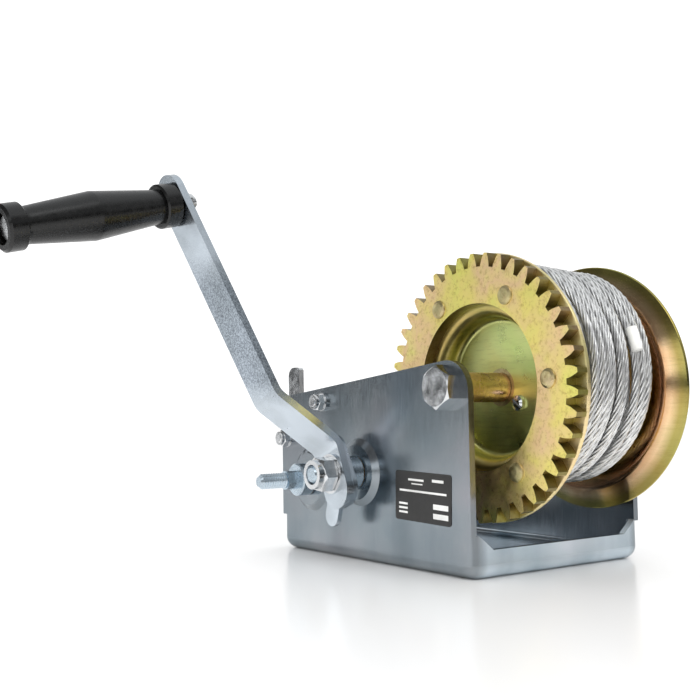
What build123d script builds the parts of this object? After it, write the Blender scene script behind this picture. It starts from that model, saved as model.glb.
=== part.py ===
from build123d import *
import math
import os

# Two-speed hand winch for a boat trailer, in millimetres.
# X runs along the drum axle with the crank at -X, Y runs from the drum end (-Y) to the
# gear end (+Y), Z is up. The origin is the centre of the base's four mounting slots, on
# the underside of the base.

# ---------------------------------------------------------------- frame
FRAME_WIDTH = 138.0
FRAME_LENGTH = 192.0
SHEET = 4.0
PLATE_HEIGHT_DRUM_END = 122.6
PLATE_HEIGHT_GEAR_END = 103.1
DRUM_END_CORNER_RADIUS = 18.0
GEAR_END_CORNER_RADIUS = 13.0
BEND_RADIUS = 8.0
LIP_HEIGHT = 16.0
LIP_OVERHANG = 1.5
CORNER_RISE = 8.0
CORNER_RUN = 10.0
SLOT_SPACING_X = 80.0
SLOT_SPACING_Y = 120.0
SLOT_WIDTH = 11.0
SLOT_LENGTH = 20.0
BOSS_HEIGHT = 3.0
BOSS_BASE_RADIUS = 21.0
BOSS_TOP_RADIUS = 17.0

# ---------------------------------------------------------------- gear train
DRIVE_MODULE = 3.5
MAIN_TEETH = 42
PINION_TEETH = 14
LOW_MODULE = 3.0
REDUCTION_TEETH = 24
LOW_PINION_TEETH = 12
BACKLASH = 0.35
MAIN_FACE_WIDTH = 7.5
LOW_FACE_WIDTH = 8.0
GEAR_BORE = 96.4

# ---------------------------------------------------------------- shaft places
AXLE_Y = -78.0
AXLE_Z = 105.5
INPUT_Z = 55.0
LOW_Z = 48.5
DRIVE_CENTRES = DRIVE_MODULE * (MAIN_TEETH + PINION_TEETH) / 2
LOW_CENTRES = LOW_MODULE * (REDUCTION_TEETH + LOW_PINION_TEETH) / 2
INPUT_Y = AXLE_Y + math.sqrt(DRIVE_CENTRES ** 2 - (AXLE_Z - INPUT_Z) ** 2)
LOW_Y = INPUT_Y + math.sqrt(LOW_CENTRES ** 2 - (INPUT_Z - LOW_Z) ** 2)

# ---------------------------------------------------------------- drum
GEAR_FRONT_SETBACK = 22.3
FLANGE_SHEET = 2.5
NEAR_FLANGE_RADIUS = 77.3
FAR_FLANGE_RADIUS = 74.7
FAR_FLANGE_FLARE = 6.0
FLARE_BEND = 5.0
FAR_FLANGE_BEND_RADIUS = 62.0
DRUM_INNER_WIDTH = 77.0
BARREL_RADIUS = 46.0
BARREL_WALL = 2.5
CUP_DEPTH = 12.0
CUP_BEND = 3.5
HUB_TUBE_RADIUS = 11.0
RIVET_COUNT = 6
RIVET_CIRCLE_RADIUS = 56.5
RIVET_HEAD_RADIUS = 5.5
RIVET_SHANK_RADIUS = 3.0
RIVET_HEAD_HEIGHT = 2.0
RIVET_TAIL_HEIGHT = 0.8
HUB_SCREW_RADIUS_FROM_AXLE = 17.5
HUB_SCREW_ANGLE = 212.0
HUB_SCREW_DIAMETER = 5.0
ROPE_DIAMETER = 5.0
WINDING_RADIUS = 66.0
WINDING_TAPER = 3.0
WINDING_LIFT = 7.0
WINDING_END_GAP = 7.5
SLEEVE_RADIUS = 3.2
SLEEVE_LENGTH = 14.0
SLEEVE_X = 16.0
SLEEVE_ANGLE = 163.5

# ---------------------------------------------------------------- axle and shafts
AXLE_DIAMETER = 14.0
AXLE_HEX = 22.0
AXLE_HEAD_HEIGHT = 8.8
AXLE_NUT_HEIGHT = 13.0
SPACER_WALL = 1.6
RUN_CLEARANCE = 0.05
SIDE_CLEARANCE = 0.4
SHAFT_DIAMETER = 16.0
BUSH_WALL = 2.0
BUSH_FLANGE_RADIUS = 12.5
BUSH_FLANGE_THICK = 1.5
SEAT_DIAMETER = 12.0
SEAT_FLATS = 9.6
INPUT_THREAD = 12.0
LOW_THREAD = 10.0
SEAT_SHOULDER_OUT = 13.0
CIRCLIP_GROOVE_DEPTH = 0.8
CIRCLIP_THICK = 1.2

# ---------------------------------------------------------------- crank
CRANK_ANGLE = 22.5
CRANK_WIDTH = 25.0
CRANK_THICK = 5.0
CRANK_RADIUS = 184.4
CRANK_END_REACH = 20.0
CRANK_FOOT_REACH = 22.0
CRANK_RISE_START = 16.0
CRANK_RISE_X = 35.0
CRANK_RISE_RADIAL = 32.0
CRANK_LEAN = 14.5
LOCK_PLATE_THICK = 3.0
LOCK_TAIL_TURN = 44.0
CRANK_BEND = 8.0
GRIP_LENGTH = 116.0
GRIP_COLLAR_RADIUS = 14.0
GRIP_NECK_RADIUS = 11.0
GRIP_BELLY_RADIUS = 15.0
GRIP_COLLAR_LENGTH = 12.0
GRIP_BOLT_DIAMETER = 8.0
GRIP_BOLT_HEX = 13.0
GRIP_NUT_HEIGHT = 8.0

# ---------------------------------------------------------------- ratchet and pawl
RATCHET_TEETH = 12
RATCHET_TIP_RADIUS = 21.0
RATCHET_ROOT_RADIUS = 16.0
RATCHET_TURN = 119.5
RATCHET_THICK = 5.0
PAWL_THICK = 3.5
PAWL_PIVOT_Y = 87.6
PAWL_PIVOT_Z = 75.0
PAWL_LEVER_WIDTH = 14.0
PAWL_LEVER_TOP = 123.4
PAWL_REST_LIFT = 9.5
SMALL_BOLT_DIAMETER = 6.0
SMALL_HEX = 10.0
SMALL_BOLT_REACH = 8.6
ANCHOR_Y = 45.3
ANCHOR_Z = 99.1
SPRING_RADIUS = 2.6
SPRING_WIRE = 0.9
SPRING_TURNS = 16
SPRING_X_FROM_PLATE = 7.8

# ---------------------------------------------------------------- label
LABEL_LENGTH = 50.0
LABEL_HEIGHT = 28.8
LABEL_THICK = 0.3
LABEL_Y = -55.6
LABEL_Z = 43.0
LABEL_TILT = 1.5

# ---------------------------------------------------------------- derived places
NEAR = -FRAME_WIDTH / 2
FAR = FRAME_WIDTH / 2
NEAR_IN = NEAR + SHEET
FAR_IN = FAR - SHEET
NEAR_BOSS = NEAR - BOSS_HEIGHT
FAR_BOSS = FAR + BOSS_HEIGHT
NEAR_BUSH_IN = NEAR_IN - BOSS_HEIGHT + BUSH_FLANGE_THICK
FAR_BUSH_IN = FAR_IN + BOSS_HEIGHT - BUSH_FLANGE_THICK
GEAR_FRONT = NEAR + GEAR_FRONT_SETBACK
GEAR_BACK = GEAR_FRONT + MAIN_FACE_WIDTH
FLANGE_BACK = GEAR_BACK + FLANGE_SHEET
FAR_FLANGE_IN = FLANGE_BACK + DRUM_INNER_WIDTH
FAR_FLANGE_OUT = FAR_FLANGE_IN + FLANGE_SHEET
CUP_RADIUS = BARREL_RADIUS - BARREL_WALL
NEAR_WEB = GEAR_BACK + CUP_DEPTH
FAR_WEB = FAR_FLANGE_OUT - CUP_DEPTH
LOW_GEAR_IN = GEAR_FRONT - 3.2
LOW_GEAR_OUT = LOW_GEAR_IN - LOW_FACE_WIDTH
RATCHET_OUT = NEAR_IN + 1.2
RATCHET_IN = RATCHET_OUT + RATCHET_THICK
SEAT_SHOULDER = NEAR - SEAT_SHOULDER_OUT
LOCK_OUT = SEAT_SHOULDER - LOCK_PLATE_THICK
ARM_OUT = LOCK_OUT - CRANK_THICK
WASHER_THICK = 1.6
CRANK_NUT_HEIGHT = 13.0
SHAFT_FAR_END = FAR_BOSS + 5.0


def along_x(x, y, z):
    """A plane at (x, y, z) that faces +X, with its own x along Y and its own y along Z."""
    return Plane(origin=(x, y, z), x_dir=(0, 1, 0), z_dir=(1, 0, 0))


def rod(radius, x0, x1, y, z):
    return along_x(x0, y, z) * Cylinder(radius, x1 - x0, align=(Align.CENTER, Align.CENTER, Align.MIN))


def tube(outer, inner, x0, x1, y, z):
    return rod(outer, x0, x1, y, z) - rod(inner, x0 - 1, x1 + 1, y, z)


def cone_x(r0, r1, x0, x1, y, z):
    return along_x(x0, y, z) * Cone(r0, r1, x1 - x0, align=(Align.CENTER, Align.CENTER, Align.MIN))


def slab_x(face, x0, x1, y, z, turn=0.0):
    """Extrude a flat outline, drawn in (Y, Z), from x0 to x1 about the point (y, z)."""
    return along_x(x0, y, z) * Rot(0, 0, turn) * extrude(face, x1 - x0, dir=(0, 0, 1))


def turned(points, y, z):
    """Revolve an outline of (x, radius) points about the axis along X through (y, z)."""
    face = make_face(Polyline(*[(x, r, 0) for x, r in points], close=True))
    return Pos(0, y, z) * revolve(face, Axis.X, 360)


def hexagon(across_flats, x0, x1, y, z, chamfer_side, turn=0.0):
    """A hexagon head or nut with its corners chamfered on one or both sides."""
    corner = across_flats / math.sqrt(3)
    body = slab_x(RegularPolygon(across_flats / 2, 6, major_radius=False), x0, x1, y, z, turn)
    drop = corner * 0.10
    flat = corner - drop * 1.6
    points = [(x0, 0), (x0, corner + 1), (x1, corner + 1), (x1, 0)]
    if "-" in chamfer_side:
        points[1:2] = [(x0, flat), (x0 + drop, corner + 0.01), (x0 + drop, corner + 1)]
    if "+" in chamfer_side:
        at = points.index((x1, corner + 1))
        points[at:at + 1] = [(x1 - drop, corner + 1), (x1 - drop, corner + 0.01), (x1, flat)]
    return body & turned(points, y, z)


def lock_nut(across_flats, bore, height, x0, y, z, outward, turn=0.0):
    """A lock nut: a hexagon with a round nylon collar at its outer end."""
    hex_height = height * 0.72
    collar = across_flats * 0.46
    if outward < 0:
        body = hexagon(across_flats, x0 - hex_height, x0, y, z, "-+", turn)
        body += rod(collar, x0 - height, x0 - hex_height + 0.5, y, z)
        hole = rod(bore / 2, x0 - height - 1, x0 + 1, y, z)
    else:
        body = hexagon(across_flats, x0, x0 + hex_height, y, z, "-+", turn)
        body += rod(collar, x0 + hex_height - 0.5, x0 + height, y, z)
        hole = rod(bore / 2, x0 - 1, x0 + height + 1, y, z)
    return body - hole


def thread(radius, pitch, x0, x1, y, z):
    """A threaded stretch, drawn as rings of the thread's own pitch and depth."""
    depth = pitch * 0.45
    count = int((x1 - x0) / pitch)
    step = (x1 - x0) / count
    points = [(x0, 0), (x0, radius - depth)]
    for i in range(count):
        points.append((x0 + (i + 0.5) * step, radius))
        points.append((x0 + (i + 1) * step, radius - depth))
    points.append((x1, 0))
    return turned(points, y, z)


def obround(width, low, high):
    """A flat bar outline along its own y from low to high, with half-round ends."""
    radius = width / 2
    bar = Pos(0, (low + high) / 2) * Rectangle(width, high - low - width)
    return bar + Pos(0, low + radius) * Circle(radius) + Pos(0, high - radius) * Circle(radius)


# ---------------------------------------------------------------- gears
def involute(angle):
    return math.tan(angle) - angle


def gear_outline(teeth, module, addendum=1.0, dedendum=1.25, undercut=0.0):
    """The outline of a spur gear, 20 degree involute, with a tooth centred on its x axis."""
    pressure = math.radians(20)
    pitch_r = module * teeth / 2
    base_r = pitch_r * math.cos(pressure)
    root_r = pitch_r - dedendum * module
    tip_r = pitch_r + addendum * module
    half = math.pi / (2 * teeth) - BACKLASH / (4 * pitch_r)

    def half_angle(radius):
        inside = max(radius, base_r)
        thin = undercut * (base_r - radius) / radius if radius < base_r else 0.0
        return half + involute(pressure) - involute(math.acos(base_r / inside)) - thin

    start_r = max(base_r, root_r)
    radii = [start_r + (tip_r - start_r) * t for t in (0, 0.15, 0.4, 0.7, 1)]
    edges = []
    for i in range(teeth):
        mid = 2 * math.pi * i / teeth
        rise = [(r * math.cos(mid - half_angle(r)), r * math.sin(mid - half_angle(r))) for r in radii]
        fall = [(r * math.cos(mid + half_angle(r)), r * math.sin(mid + half_angle(r))) for r in radii]
        fall.reverse()
        root_in = mid - half_angle(root_r)
        root_out = mid + half_angle(root_r)
        foot_in = (root_r * math.cos(root_in), root_r * math.sin(root_in))
        foot_out = (root_r * math.cos(root_out), root_r * math.sin(root_out))
        if root_r < start_r - 0.01:
            edges.append(Line(foot_in, rise[0]))
        edges.append(Spline(*rise))
        crown = (tip_r * math.cos(mid), tip_r * math.sin(mid))
        edges.append(ThreePointArc(rise[-1], crown, fall[0]))
        edges.append(Spline(*fall))
        if root_r < start_r - 0.01:
            edges.append(Line(fall[-1], foot_out))
        gap = mid + math.pi / teeth
        next_in = 2 * math.pi * (i + 1) / teeth - half_angle(root_r)
        valley = (root_r * math.cos(gap), root_r * math.sin(gap))
        next_foot = (root_r * math.cos(next_in), root_r * math.sin(next_in))
        edges.append(ThreePointArc(foot_out, valley, next_foot))
    return make_face(Wire(Wire(edges).edges()))


def direction(y0, z0, y1, z1):
    return math.degrees(math.atan2(z1 - z0, y1 - y0))


DRIVE_LINE = direction(AXLE_Y, AXLE_Z, INPUT_Y, INPUT_Z)
LOW_LINE = direction(INPUT_Y, INPUT_Z, LOW_Y, LOW_Z)
# A tooth of the main gear points along the line to the input shaft, and the pinion has a
# space there. The reduction gear has a tooth along the line to the low shaft.
MAIN_TURN = DRIVE_LINE
PINION_TURN = DRIVE_LINE + 180 + 180 / PINION_TEETH
REDUCTION_TURN = LOW_LINE
LOW_PINION_TURN = LOW_LINE + 180 + 180 / LOW_PINION_TEETH


def main_gear():
    outline = gear_outline(MAIN_TEETH, DRIVE_MODULE) - Circle(GEAR_BORE / 2)
    gear = slab_x(outline, GEAR_FRONT, GEAR_BACK, AXLE_Y, AXLE_Z, MAIN_TURN)
    for y, z in rivet_places():
        gear -= rod(RIVET_SHANK_RADIUS, GEAR_FRONT - 1, GEAR_BACK + 1, y, z)
    return gear


def drive_pinion():
    outline = gear_outline(PINION_TEETH, DRIVE_MODULE, addendum=0.9, undercut=0.25)
    body = slab_x(outline, GEAR_FRONT - 0.4, GEAR_BACK - 1.0, INPUT_Y, INPUT_Z, PINION_TURN)
    return body - rod(SHAFT_DIAMETER / 2, GEAR_FRONT - 2, GEAR_BACK + 1, INPUT_Y, INPUT_Z)


def reduction_gear():
    outline = gear_outline(REDUCTION_TEETH, LOW_MODULE)
    body = slab_x(outline, LOW_GEAR_OUT, LOW_GEAR_IN, INPUT_Y, INPUT_Z, REDUCTION_TURN)
    web = tube(REDUCTION_TEETH * LOW_MODULE / 2 - 8, 15, LOW_GEAR_OUT - 1, LOW_GEAR_OUT + 1.5, INPUT_Y, INPUT_Z)
    body -= web
    return body - rod(SHAFT_DIAMETER / 2, LOW_GEAR_OUT - 2, LOW_GEAR_IN + 1, INPUT_Y, INPUT_Z)


def low_pinion():
    outline = gear_outline(LOW_PINION_TEETH, LOW_MODULE, addendum=0.9, undercut=0.3)
    body = slab_x(outline, LOW_GEAR_OUT - 0.5, LOW_GEAR_IN + 0.5, LOW_Y, LOW_Z, LOW_PINION_TURN)
    return body - rod(SHAFT_DIAMETER / 2, LOW_GEAR_OUT - 2, LOW_GEAR_IN + 2, LOW_Y, LOW_Z)


# ---------------------------------------------------------------- frame
def tray_block(inset):
    """The base tray's outer block or, set in by the sheet, its hollow, with rounded corners."""
    size_y = FRAME_LENGTH + 2 * LIP_OVERHANG
    height = LIP_HEIGHT + CORNER_RISE
    block = Box(FRAME_WIDTH - 2 * inset, size_y - 2 * inset, height, align=(Align.CENTER, Align.CENTER, Align.MIN))
    block = fillet(block.edges().filter_by(Axis.Z), BEND_RADIUS - inset)
    block = fillet(block.faces().sort_by(Axis.Z)[0].edges(), BEND_RADIUS - inset)
    return Pos(0, 0, inset) * block


def base_tray():
    """The drawn base: walls on all four sides, whose end lips dip down between the plates."""
    top = LIP_HEIGHT + CORNER_RISE
    high = FRAME_WIDTH / 2 - SHEET - 1.0
    low = high - CORNER_RUN
    dip = [(-high, top + 20), (-high, top), (-low, LIP_HEIGHT), (low, LIP_HEIGHT), (high, top), (high, top + 20)]
    face = make_face(Polyline(*dip, close=True))
    return tray_block(0) - tray_block(SHEET) - Plane.XZ * extrude(face, FRAME_LENGTH, both=True)


def side_outline():
    """A side plate above the tray, in (Y, Z), with its two top corners rounded."""
    half = FRAME_LENGTH / 2
    foot = LIP_HEIGHT + CORNER_RISE - 1.0
    corners = [(-half, foot), (half, foot), (half, PLATE_HEIGHT_GEAR_END), (-half, PLATE_HEIGHT_DRUM_END)]
    face = make_face(Polyline(*corners, close=True))
    high = face.vertices().group_by(Axis.Y)[-1][0]
    face = fillet(high, DRUM_END_CORNER_RADIUS)
    gear_corner = outline_vertex(face, half, PLATE_HEIGHT_GEAR_END)
    return fillet(gear_corner, GEAR_END_CORNER_RADIUS)


def shaft_boss(side, y, z):
    """The pressed boss that carries a bushing: material added outside, and its hollow."""
    face = NEAR if side < 0 else FAR
    inner = NEAR_IN if side < 0 else FAR_IN
    if side < 0:
        dome = cone_x(BOSS_TOP_RADIUS, BOSS_BASE_RADIUS, face - BOSS_HEIGHT, face + 0.01, y, z)
        hollow = cone_x(BOSS_TOP_RADIUS - 2, BOSS_BASE_RADIUS - 2, inner - BOSS_HEIGHT, inner + 0.01, y, z)
    else:
        dome = cone_x(BOSS_BASE_RADIUS, BOSS_TOP_RADIUS, face - 0.01, face + BOSS_HEIGHT, y, z)
        hollow = cone_x(BOSS_BASE_RADIUS - 2, BOSS_TOP_RADIUS - 2, inner - 0.01, inner + BOSS_HEIGHT, y, z)
    return dome, hollow


def frame():
    shell = base_tray()
    shell += slab_x(side_outline(), NEAR, NEAR_IN, 0, 0) + slab_x(side_outline(), FAR_IN, FAR, 0, 0)
    for side in (-1, 1):
        for y, z in ((INPUT_Y, INPUT_Z), (LOW_Y, LOW_Z)):
            dome, hollow = shaft_boss(side, y, z)
            shell = shell + dome - hollow
    for y, z in ((INPUT_Y, INPUT_Z), (LOW_Y, LOW_Z)):
        shell -= rod(SHAFT_DIAMETER / 2 + BUSH_WALL, NEAR - 10, FAR + 10, y, z)
    shell -= rod(AXLE_DIAMETER / 2, NEAR - 1, FAR + 1, AXLE_Y, AXLE_Z)
    for y, z in ((PAWL_PIVOT_Y, PAWL_PIVOT_Z), (ANCHOR_Y, ANCHOR_Z)):
        shell -= rod(SMALL_BOLT_DIAMETER / 2, NEAR - 1, NEAR_IN + 1, y, z)
    slot = extrude(SlotOverall(SLOT_LENGTH, SLOT_WIDTH), 20, both=True)
    for x in (-SLOT_SPACING_X / 2, SLOT_SPACING_X / 2):
        for y in (-SLOT_SPACING_Y / 2, SLOT_SPACING_Y / 2):
            shell -= Pos(x, y, 0) * slot
    return shell


def shaft_bushings(y, z):
    """The pair of flanged bushings of one shaft, each pressed in its boss from inside."""
    outer = SHAFT_DIAMETER / 2 + BUSH_WALL
    inner = SHAFT_DIAMETER / 2 + RUN_CLEARANCE
    near = rod(outer, NEAR_BOSS, NEAR_BUSH_IN, y, z)
    near += rod(BUSH_FLANGE_RADIUS, NEAR_IN - BOSS_HEIGHT, NEAR_BUSH_IN, y, z)
    far = rod(outer, FAR_BUSH_IN, FAR_BOSS, y, z)
    far += rod(BUSH_FLANGE_RADIUS, FAR_BUSH_IN, FAR_IN + BOSS_HEIGHT, y, z)
    hole = rod(inner, NEAR_BOSS - 5, FAR_BOSS + 5, y, z)
    return Compound(children=[near - hole, far - hole])


def label():
    plate = extrude(Rectangle(LABEL_LENGTH, LABEL_HEIGHT), LABEL_THICK)
    plate = fillet(plate.edges().filter_by(Axis.Z), 2.0)
    return along_x(NEAR - LABEL_THICK, LABEL_Y, LABEL_Z) * Rot(0, 0, LABEL_TILT) * plate


# ---------------------------------------------------------------- drum axle
AXLE_NUT_OUT = FAR + WASHER_THICK
AXLE_END = AXLE_NUT_OUT + AXLE_NUT_HEIGHT + 3.0
SPACER_RADIUS = AXLE_DIAMETER / 2 + SPACER_WALL


def axle_bolt():
    head = hexagon(AXLE_HEX, NEAR - AXLE_HEAD_HEIGHT, NEAR, AXLE_Y, AXLE_Z, "-", 30)
    shank = rod(AXLE_DIAMETER / 2, NEAR, FAR + 1, AXLE_Y, AXLE_Z)
    tip = thread(AXLE_DIAMETER / 2, 2.0, FAR + 1, AXLE_END, AXLE_Y, AXLE_Z)
    return head + shank + tip


def axle_washer():
    return tube(AXLE_DIAMETER, AXLE_DIAMETER / 2, FAR, AXLE_NUT_OUT, AXLE_Y, AXLE_Z)


def axle_nut():
    return lock_nut(AXLE_HEX, AXLE_DIAMETER, AXLE_NUT_HEIGHT, AXLE_NUT_OUT, AXLE_Y, AXLE_Z, 1)


def axle_spacers():
    inner = AXLE_DIAMETER / 2
    near = tube(SPACER_RADIUS, inner, NEAR_IN, NEAR_WEB - SIDE_CLEARANCE, AXLE_Y, AXLE_Z)
    far = tube(SPACER_RADIUS, inner, FAR_WEB + SIDE_CLEARANCE, FAR_IN, AXLE_Y, AXLE_Z)
    return Compound(children=[near, far])


# ---------------------------------------------------------------- drum
def rivet_places():
    for i in range(RIVET_COUNT):
        turn = math.radians(56.6 + i * 360 / RIVET_COUNT)
        yield AXLE_Y + RIVET_CIRCLE_RADIUS * math.cos(turn), AXLE_Z + RIVET_CIRCLE_RADIUS * math.sin(turn)


def hub_screw_place():
    turn = math.radians(HUB_SCREW_ANGLE)
    reach = HUB_SCREW_RADIUS_FROM_AXLE
    return AXLE_Y + reach * math.cos(turn), AXLE_Z + reach * math.sin(turn)


def outline_vertex(face, x, r):
    return min(face.vertices(), key=lambda v: math.hypot(v.X - x, v.Y - r))


def sheet_turned(points, bends):
    """Revolve a sheet's (x, radius) outline about the axle, after rounding the named bends."""
    face = make_face(Polyline(*points, close=True))
    for (x, r), radius in bends:
        face = fillet(outline_vertex(face, x, r), radius)
    return Pos(0, AXLE_Y, AXLE_Z) * revolve(face, Axis.X, 360)


def near_flange():
    """The near flange: a flat ring outside, and a cup that fits inside the barrel."""
    s = FLANGE_SHEET
    web = NEAR_WEB
    cup = CUP_RADIUS
    points = [(GEAR_BACK, NEAR_FLANGE_RADIUS), (GEAR_BACK, cup - s), (web, cup - s), (web, HUB_TUBE_RADIUS)]
    points += [(web + s, HUB_TUBE_RADIUS), (web + s, cup), (FLANGE_BACK, cup)]
    points += [(FLANGE_BACK, NEAR_FLANGE_RADIUS)]
    bends = [((GEAR_BACK, cup - s), CUP_BEND + s), ((web, cup - s), CUP_BEND)]
    bends += [((web + s, cup), CUP_BEND + s), ((FLANGE_BACK, cup), CUP_BEND)]
    bends += [((GEAR_BACK, NEAR_FLANGE_RADIUS), 1.0), ((FLANGE_BACK, NEAR_FLANGE_RADIUS), 1.0)]
    flange = sheet_turned(points, bends)
    for y, z in rivet_places():
        flange -= rod(RIVET_SHANK_RADIUS, GEAR_BACK - 1, FLANGE_BACK + 1, y, z)
    y, z = hub_screw_place()
    return flange - rod(HUB_SCREW_DIAMETER / 2, web - 1, web + s + 1, y, z)


def far_flange():
    """The far flange: a cup inside the barrel, a flat ring, and a flared outer rim."""
    s = FLANGE_SHEET
    web = FAR_WEB
    cup = CUP_RADIUS
    rim = FAR_FLANGE_OUT + FAR_FLANGE_FLARE
    bend_r = FAR_FLANGE_BEND_RADIUS
    points = [(web - s, HUB_TUBE_RADIUS), (web - s, cup), (FAR_FLANGE_IN, cup), (FAR_FLANGE_IN, bend_r)]
    points += [(rim - s, FAR_FLANGE_RADIUS), (rim, FAR_FLANGE_RADIUS), (FAR_FLANGE_OUT, bend_r - 1)]
    points += [(FAR_FLANGE_OUT, cup - s), (web, cup - s), (web, HUB_TUBE_RADIUS)]
    bends = [((web - s, cup), CUP_BEND + s), ((FAR_FLANGE_IN, cup), CUP_BEND)]
    bends += [((FAR_FLANGE_OUT, cup - s), CUP_BEND + s), ((web, cup - s), CUP_BEND)]
    bends += [((FAR_FLANGE_IN, bend_r), FLARE_BEND + s), ((FAR_FLANGE_OUT, bend_r - 1), FLARE_BEND)]
    bends += [((rim - s, FAR_FLANGE_RADIUS), 1.0), ((rim, FAR_FLANGE_RADIUS), 1.0)]
    return sheet_turned(points, bends)


def drum_barrel():
    ends = (FLANGE_BACK + CUP_BEND, FAR_FLANGE_IN - CUP_BEND)
    barrel = tube(BARREL_RADIUS, CUP_RADIUS, ends[0], ends[1], AXLE_Y, AXLE_Z)
    x, turn = rope_hole_place()
    place = Pos(x, AXLE_Y, AXLE_Z) * Rot(turn, 0, 0) * Pos(0, 0, BARREL_RADIUS)
    return barrel - place * Cylinder(ROPE_DIAMETER / 2 + 1, 20)


def rope_hole_place():
    """Where the rope goes through the barrel: its X, and its turn about X from straight up."""
    return NEAR_WEB + FLANGE_SHEET + 8.0, HUB_SCREW_ANGLE - 90


def drum_hub_tube():
    inner = AXLE_DIAMETER / 2 + RUN_CLEARANCE
    return tube(HUB_TUBE_RADIUS, inner, NEAR_WEB, FAR_WEB, AXLE_Y, AXLE_Z)


def drum_rivets():
    """One rivet at each place: a low domed head on the gear, a flat tail inside the drum."""
    r = RIVET_HEAD_RADIUS
    tail = FLANGE_BACK + RIVET_TAIL_HEIGHT
    top = GEAR_FRONT - RIVET_HEAD_HEIGHT
    points = [(GEAR_FRONT, r), (GEAR_FRONT - 0.8, r * 0.95), (top + 0.3, r * 0.7), (top, r * 0.35), (top, 0)]
    points += [(tail, 0), (tail, r * 0.6), (FLANGE_BACK, r * 0.8)]
    points += [(FLANGE_BACK, RIVET_SHANK_RADIUS), (GEAR_FRONT, RIVET_SHANK_RADIUS)]
    return Compound(children=[turned(points, y, z) for y, z in rivet_places()])


CLAMP_THICK = 6.0


def hub_screw():
    y, z = hub_screw_place()
    head = turned([(NEAR_WEB, 0), (NEAR_WEB, 4.8), (NEAR_WEB - 2.0, 4.3), (NEAR_WEB - 2.8, 2.6),
                   (NEAR_WEB - 3.0, 0)], y, z)
    slot = slab_x(Rectangle(12, 1.3), NEAR_WEB - 4, NEAR_WEB - 1.7, y, z, 40)
    shank = rod(2.5, NEAR_WEB, NEAR_WEB + FLANGE_SHEET + CLAMP_THICK + 6.5, y, z)
    return head - slot + shank


def rope_clamp():
    y, z = hub_screw_place()
    x0 = NEAR_WEB + FLANGE_SHEET
    block = fillet(Rectangle(11, 11).vertices(), 1.5)
    body = slab_x(block, x0, x0 + CLAMP_THICK, y, z, HUB_SCREW_ANGLE)
    return body - rod(2.5, x0 - 1, x0 + CLAMP_THICK + 1, y, z)


def hub_screw_nut():
    y, z = hub_screw_place()
    x0 = NEAR_WEB + FLANGE_SHEET + CLAMP_THICK
    return hexagon(8.0, x0, x0 + 4.5, y, z, "+", HUB_SCREW_ANGLE) - rod(2.5, x0 - 1, x0 + 5, y, z)


def rope_winding():
    """The outer shape of the wound rope, a little off the axle's centre where it is loose."""
    x0 = FLANGE_BACK + RIVET_TAIL_HEIGHT + 0.4
    x1 = FAR_FLANGE_IN - WINDING_END_GAP
    outer = cone_x(WINDING_RADIUS + WINDING_TAPER, WINDING_RADIUS, x0, x1, AXLE_Y, AXLE_Z + WINDING_LIFT)
    return outer - rod(BARREL_RADIUS, x0 - 1, x1 + 1, AXLE_Y, AXLE_Z) - rope_end_sleeve()


def rope_end_sleeve():
    """The sleeve that binds the rope's free end, lying on the outer turns."""
    turn = math.radians(SLEEVE_ANGLE)
    reach = WINDING_RADIUS - 0.8
    y = AXLE_Y + reach * math.cos(turn)
    z = AXLE_Z + WINDING_LIFT + reach * math.sin(turn)
    along = (0, -math.sin(turn), math.cos(turn))
    sleeve = Cylinder(SLEEVE_RADIUS, SLEEVE_LENGTH)
    sleeve = fillet(sleeve.edges(), 0.8)
    return Plane(origin=(SLEEVE_X, y, z), x_dir=(1, 0, 0), z_dir=along) * sleeve


# ---------------------------------------------------------------- shafts
def flatted(diameter, flats, x0, x1, y, z, turn):
    bar = slab_x(Rectangle(flats, diameter + 1), x0, x1, y, z, turn)
    return rod(diameter / 2, x0, x1, y, z) & bar


def circlip_groove(y, z):
    x0 = FAR_BOSS + 0.6
    return tube(SHAFT_DIAMETER, SHAFT_DIAMETER / 2 - CIRCLIP_GROOVE_DEPTH, x0, x0 + CIRCLIP_THICK, y, z)


def circlip(y, z, turn):
    x0 = FAR_BOSS + 0.6
    inner = SHAFT_DIAMETER / 2 - CIRCLIP_GROOVE_DEPTH
    ring = tube(SHAFT_DIAMETER / 2 + 2.2, inner, x0, x0 + CIRCLIP_THICK, y, z)
    return ring - slab_x(Pos(SHAFT_DIAMETER / 2, 0) * Rectangle(8, 5), x0 - 1, x0 + 3, y, z, turn)


def shaft(y, z, thread_diameter, outer_end, seat_end, turn):
    body = rod(SHAFT_DIAMETER / 2, SEAT_SHOULDER, SHAFT_FAR_END, y, z)
    body += flatted(SEAT_DIAMETER, SEAT_FLATS, seat_end, SEAT_SHOULDER, y, z, turn)
    body += thread(thread_diameter / 2, 1.75, outer_end + 1.5, seat_end, y, z)
    core = thread_diameter / 2 - 0.8
    body += cone_x(core - 1.0, core, outer_end, outer_end + 1.5, y, z)
    return body - circlip_groove(y, z)


INPUT_END = ARM_OUT - WASHER_THICK - CRANK_NUT_HEIGHT - 0.3
LOW_END = NEAR - 41.0
SEAT_END = ARM_OUT - 0.3


def input_shaft():
    return shaft(INPUT_Y, INPUT_Z, INPUT_THREAD, INPUT_END, SEAT_END, -CRANK_ANGLE)


def low_shaft():
    return shaft(LOW_Y, LOW_Z, LOW_THREAD, LOW_END, SEAT_END, -CRANK_ANGLE)


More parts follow.
